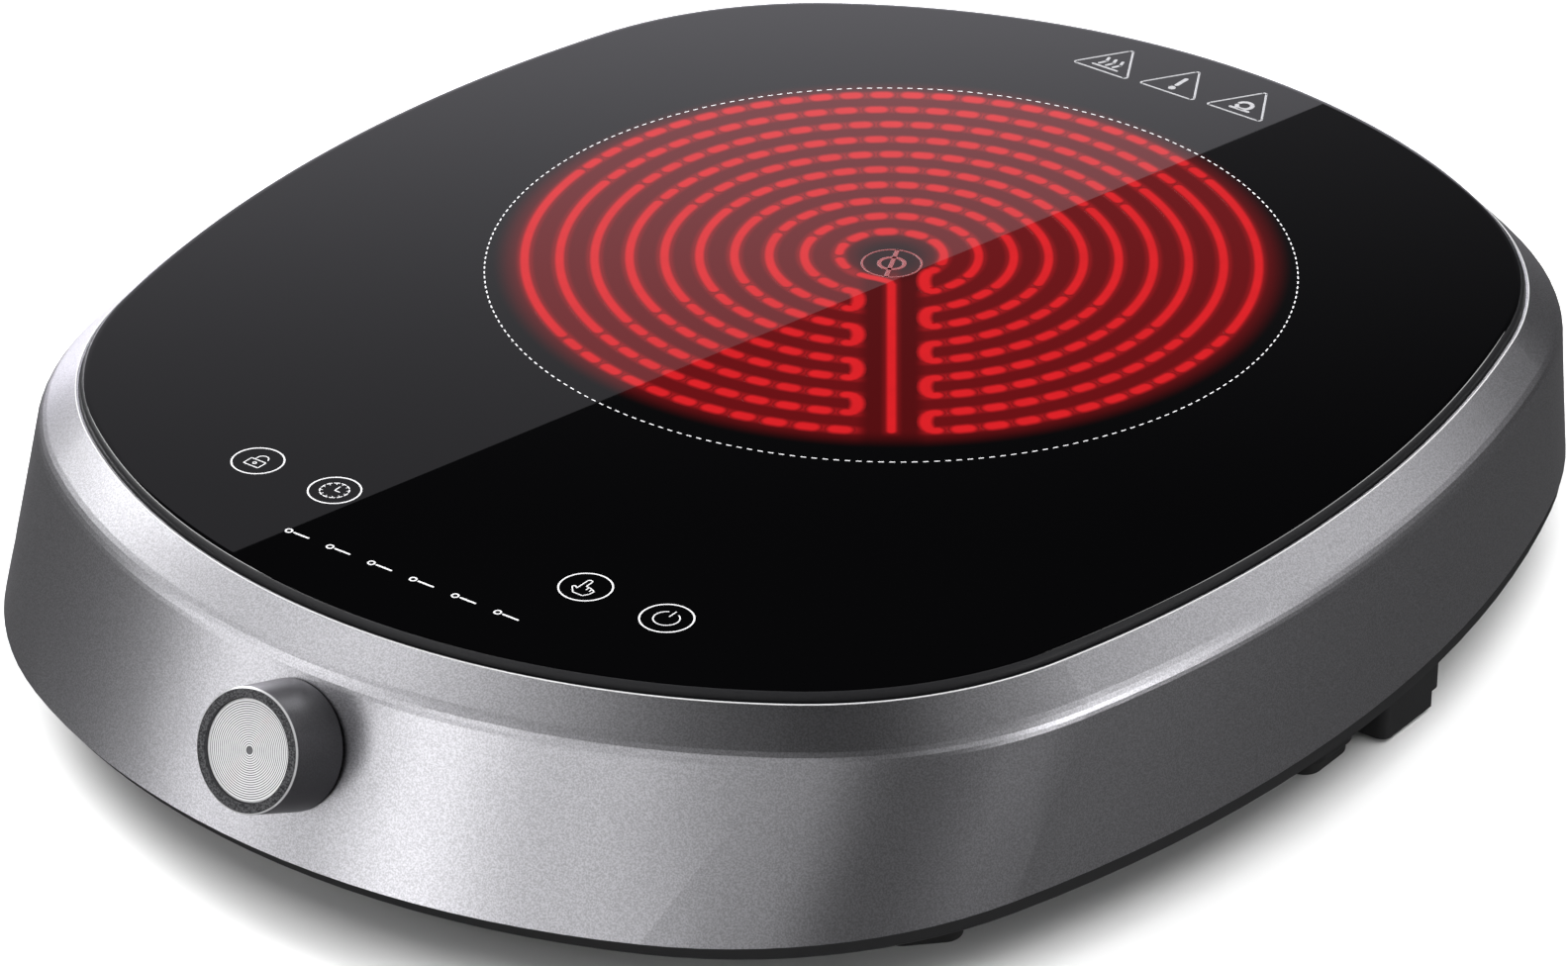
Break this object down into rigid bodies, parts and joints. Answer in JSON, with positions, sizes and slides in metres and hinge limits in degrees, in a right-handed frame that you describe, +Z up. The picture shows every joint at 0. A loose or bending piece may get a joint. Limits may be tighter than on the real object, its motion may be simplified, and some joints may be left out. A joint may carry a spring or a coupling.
{
  "type": "hot plate burner",
  "caption": "Countertop radiant hot plate: oval black glass top in a silver housing, with touch keys, a leaning front knob, rubber feet and a cooling fan.",
  "frame": {"origin": "on the table, under the centre of the bounding box", "axes": "+Z up; the knob and touch keys are at the -Y side, so -Y faces the user; +X is to the right of someone behind the knob looking along +Y"},
  "size_m": [0.3128, 0.3916, 0.069],
  "materials": {
    "black_glass": "polished black glass-ceramic",
    "silver_paint": "fine-grained metallic silver paint",
    "black_moulding": "fine matt texture",
    "silicone_seal": "satin",
    "rubber_feet": "matt",
    "knob_gunmetal": "satin dark metallic",
    "spun_aluminium": "turned in concentric rings",
    "zinc_steel": "zinc plated",
    "heater_insulation": "fibrous matt",
    "coil_alloy": "glowing red",
    "limiter_ceramic": "matt",
    "board_green": "solder resist",
    "component_black": "moulded",
    "capacitor_box": "semi-gloss",
    "touch_sponge": "conductive foam",
    "led_lens": "clear red lens",
    "bare_aluminium": "extruded",
    "copper_winding": "enamelled wire",
    "fuse_glass": "clear with plated caps"
  },
  "bodies": {
    "housing": {"glass_top": "black_glass", "glass_seal": "silicone_seal", "upper_housing": "silver_paint", "lower_housing": "black_moulding", "base_screws": "zinc_steel", "cord_gland": "black_moulding", "encoder_body": "component_black", "encoder_nut": "zinc_steel", "encoder_board": "board_green", "heater_dish": "zinc_steel", "heater_insulation": "heater_insulation", "heater_ring": "heater_insulation", "heater_coil": "coil_alloy", "limiter_rod": "limiter_ceramic", "limiter_head": "limiter_ceramic", "heater_bracket": "zinc_steel", "bracket_screws": "zinc_steel", "control_board": "board_green", "touch_contacts": "touch_sponge", "indicator_leds": "led_lens", "buzzer": "component_black", "temperature_sensor": "zinc_steel", "sensor_spring": "zinc_steel", "power_board": "board_green", "heat_sink": "bare_aluminium", "triac": "component_black", "transformer": "copper_winding", "filter_capacitor": "capacitor_box", "smoothing_capacitor": "bare_aluminium", "relay": "component_black", "fuse_link": "fuse_glass", "terminal_block": "component_black", "board_screws": "zinc_steel", "fan_frame": "component_black", "fan_stator": "copper_winding", "fan_screws": "zinc_steel", "foot_front_right": "rubber_feet", "foot_front_left": "rubber_feet", "foot_side_right": "rubber_feet", "foot_side_left": "rubber_feet", "foot_rear_right": "rubber_feet", "foot_rear_left": "rubber_feet"},
    "knob": {"knob_shell": "knob_gunmetal", "knob_disc": "spun_aluminium", "encoder_shaft": "zinc_steel"},
    "fan": {"fan_impeller": "component_black", "fan_shaft": "zinc_steel"}
  },
  "joints": [
    {"name": "knob_turn", "type": "hinge", "parent": "housing", "child": "knob", "pos_m": [0, -0.17672, 0.0431], "axis": [0, -0.9334, 0.3587], "continuous": true},
    {"name": "fan_spin", "type": "hinge", "parent": "housing", "child": "fan", "pos_m": [-0.078, -0.07487, 0.026], "axis": [0, 0, 1], "continuous": true}
  ]
}
